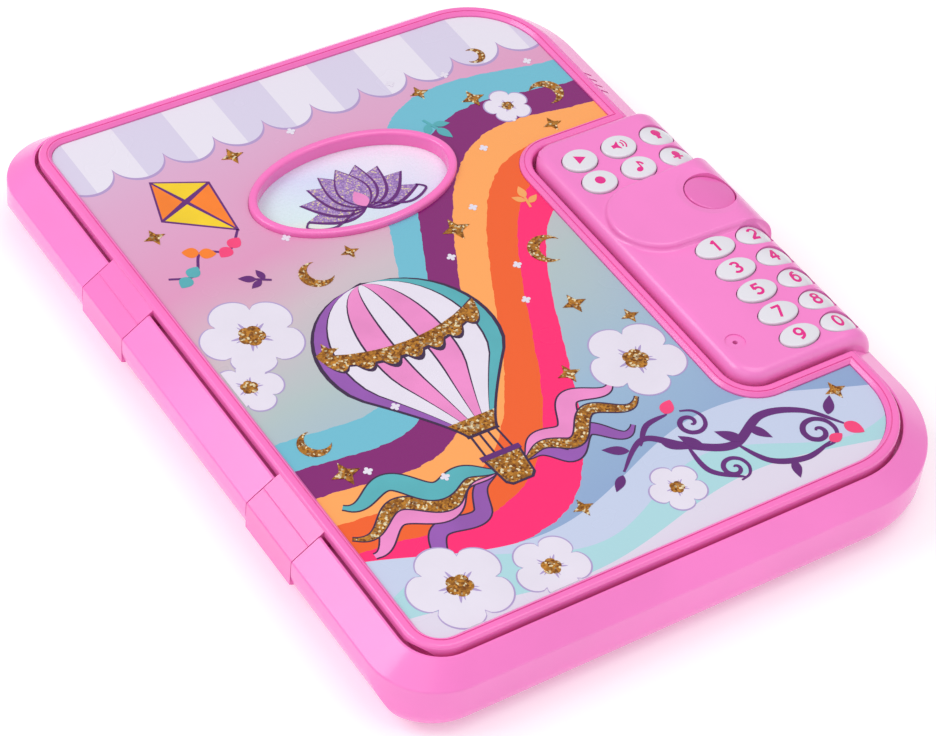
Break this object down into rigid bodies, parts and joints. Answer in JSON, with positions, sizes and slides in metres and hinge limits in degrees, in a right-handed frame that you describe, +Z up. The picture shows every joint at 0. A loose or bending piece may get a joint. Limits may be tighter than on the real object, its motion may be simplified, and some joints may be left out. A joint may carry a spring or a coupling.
{
  "type": "electronic secret diary",
  "caption": "Book-shaped secret diary case with a spine-hinged lid, an oval picture window, a keypad console with oval buttons and a sliding bolt that locks the lid.",
  "frame": {"origin": "on the resting plane, under the middle of the whole object's outline", "axes": "+X from the spine to the keypad side, +Y to the top of the page, +Z up, lid closed"},
  "size_m": [0.1972, 0.2498, 0.0323],
  "materials": {
    "case_pink": "glossy injection-moulded pink plastic",
    "frame_pink": "glossy injection-moulded pink plastic",
    "console_pink": "satin-gloss pink plastic",
    "lid_pink": "glossy injection-moulded pink plastic",
    "button_white": "white plastic with pink printed icons",
    "button_pink": "glossy pink plastic",
    "printed_sheet": "glossy printed card sheet",
    "picture": "pearly printed card",
    "liner": "matt pink plastic",
    "steel": "zinc-plated steel",
    "contact_steel": "nickel-plated spring steel",
    "rubber_grey": "light grey silicone rubber",
    "rubber_foot": "dark rubber",
    "board_green": "green circuit board",
    "cable_grey": "flat cable sheath",
    "speaker_black": "black speaker cone and frame",
    "microphone_metal": "aluminium can",
    "solenoid_black": "black bobbin and frame",
    "bolt_white": "natural acetal",
    "cell": "printed metal cell can",
    "notebook_card": "printed card cover",
    "paper": "uncoated paper"
  },
  "bodies": {
    "base": {"bottom_shell": "case_pink", "top_frame": "frame_pink", "keypad_housing": "console_pink", "battery_door": "case_pink", "base_screws": "steel", "housing_screws": "steel", "battery_door_screw": "steel", "hinge_pin_upper": "steel", "hinge_pin_lower": "steel", "rubber_feet": "rubber_foot", "batteries": "cell", "battery_springs": "contact_steel", "battery_contacts": "contact_steel", "keypad_board": "board_green", "keypad_mat": "rubber_grey", "main_board": "board_green", "keypad_cable": "cable_grey", "speaker": "speaker_black", "microphone": "microphone_metal", "latch_solenoid": "solenoid_black", "notebook_cover": "notebook_card", "notebook_pages": "paper"},
    "lid": {"lid_shell": "lid_pink", "lid_liner": "liner", "cover_print": "printed_sheet", "picture_insert": "picture", "lid_catch": "steel", "lid_screws": "steel"},
    "bolt": {"latch_bolt": "bolt_white"},
    "play_button": {"play_button": "button_white"},
    "sound_button": {"sound_button": "button_white"},
    "light_button": {"light_button": "button_white"},
    "record_button": {"record_button": "button_white"},
    "music_button": {"music_button": "button_white"},
    "alarm_button": {"alarm_button": "button_white"},
    "number_button_0": {"number_button_0": "button_white"},
    "number_button_1": {"number_button_1": "button_white"},
    "number_button_2": {"number_button_2": "button_white"},
    "number_button_3": {"number_button_3": "button_white"},
    "number_button_4": {"number_button_4": "button_white"},
    "number_button_5": {"number_button_5": "button_white"},
    "number_button_6": {"number_button_6": "button_white"},
    "number_button_7": {"number_button_7": "button_white"},
    "number_button_8": {"number_button_8": "button_white"},
    "number_button_9": {"number_button_9": "button_white"},
    "open_button": {"open_button": "button_pink"}
  },
  "joints": [
    {"name": "lid_hinge", "type": "hinge", "parent": "base", "child": "lid", "pos_m": [-0.0935, 0, 0.0178], "axis": [0, -1, 0], "range_deg": [0, 120]},
    {"name": "bolt_slide", "type": "slide", "parent": "base", "child": "bolt", "axis": [-1, 0, 0], "range_m": [0, 0.005]},
    {"name": "play_button_press", "type": "slide", "parent": "base", "child": "play_button", "axis": [0, 0, -1], "range_m": [0, 0.001], "stiffness_N_per_m": 400, "springref_m": -0.0005},
    {"name": "sound_button_press", "type": "slide", "parent": "base", "child": "sound_button", "axis": [0, 0, -1], "range_m": [0, 0.001], "stiffness_N_per_m": 400, "springref_m": -0.0005},
    {"name": "light_button_press", "type": "slide", "parent": "base", "child": "light_button", "axis": [0, 0, -1], "range_m": [0, 0.001], "stiffness_N_per_m": 400, "springref_m": -0.0005},
    {"name": "record_button_press", "type": "slide", "parent": "base", "child": "record_button", "axis": [0, 0, -1], "range_m": [0, 0.001], "stiffness_N_per_m": 400, "springref_m": -0.0005},
    {"name": "music_button_press", "type": "slide", "parent": "base", "child": "music_button", "axis": [0, 0, -1], "range_m": [0, 0.001], "stiffness_N_per_m": 400, "springref_m": -0.0005},
    {"name": "alarm_button_press", "type": "slide", "parent": "base", "child": "alarm_button", "axis": [0, 0, -1], "range_m": [0, 0.001], "stiffness_N_per_m": 400, "springref_m": -0.0005},
    {"name": "number_button_0_press", "type": "slide", "parent": "base", "child": "number_button_0", "axis": [0, 0, -1], "range_m": [0, 0.001], "stiffness_N_per_m": 400, "springref_m": -0.0005},
    {"name": "number_button_1_press", "type": "slide", "parent": "base", "child": "number_button_1", "axis": [0, 0, -1], "range_m": [0, 0.001], "stiffness_N_per_m": 400, "springref_m": -0.0005},
    {"name": "number_button_2_press", "type": "slide", "parent": "base", "child": "number_button_2", "axis": [0, 0, -1], "range_m": [0, 0.001], "stiffness_N_per_m": 400, "springref_m": -0.0005},
    {"name": "number_button_3_press", "type": "slide", "parent": "base", "child": "number_button_3", "axis": [0, 0, -1], "range_m": [0, 0.001], "stiffness_N_per_m": 400, "springref_m": -0.0005},
    {"name": "number_button_4_press", "type": "slide", "parent": "base", "child": "number_button_4", "axis": [0, 0, -1], "range_m": [0, 0.001], "stiffness_N_per_m": 400, "springref_m": -0.0005},
    {"name": "number_button_5_press", "type": "slide", "parent": "base", "child": "number_button_5", "axis": [0, 0, -1], "range_m": [0, 0.001], "stiffness_N_per_m": 400, "springref_m": -0.0005},
    {"name": "number_button_6_press", "type": "slide", "parent": "base", "child": "number_button_6", "axis": [0, 0, -1], "range_m": [0, 0.001], "stiffness_N_per_m": 400, "springref_m": -0.0005},
    {"name": "number_button_7_press", "type": "slide", "parent": "base", "child": "number_button_7", "axis": [0, 0, -1], "range_m": [0, 0.001], "stiffness_N_per_m": 400, "springref_m": -0.0005},
    {"name": "number_button_8_press", "type": "slide", "parent": "base", "child": "number_button_8", "axis": [0, 0, -1], "range_m": [0, 0.001], "stiffness_N_per_m": 400, "springref_m": -0.0005},
    {"name": "number_button_9_press", "type": "slide", "parent": "base", "child": "number_button_9", "axis": [0, 0, -1], "range_m": [0, 0.001], "stiffness_N_per_m": 400, "springref_m": -0.0005},
    {"name": "open_button_press", "type": "slide", "parent": "base", "child": "open_button", "axis": [0, 0, -1], "range_m": [0, 0.001], "stiffness_N_per_m": 400, "springref_m": -0.0005}
  ]
}
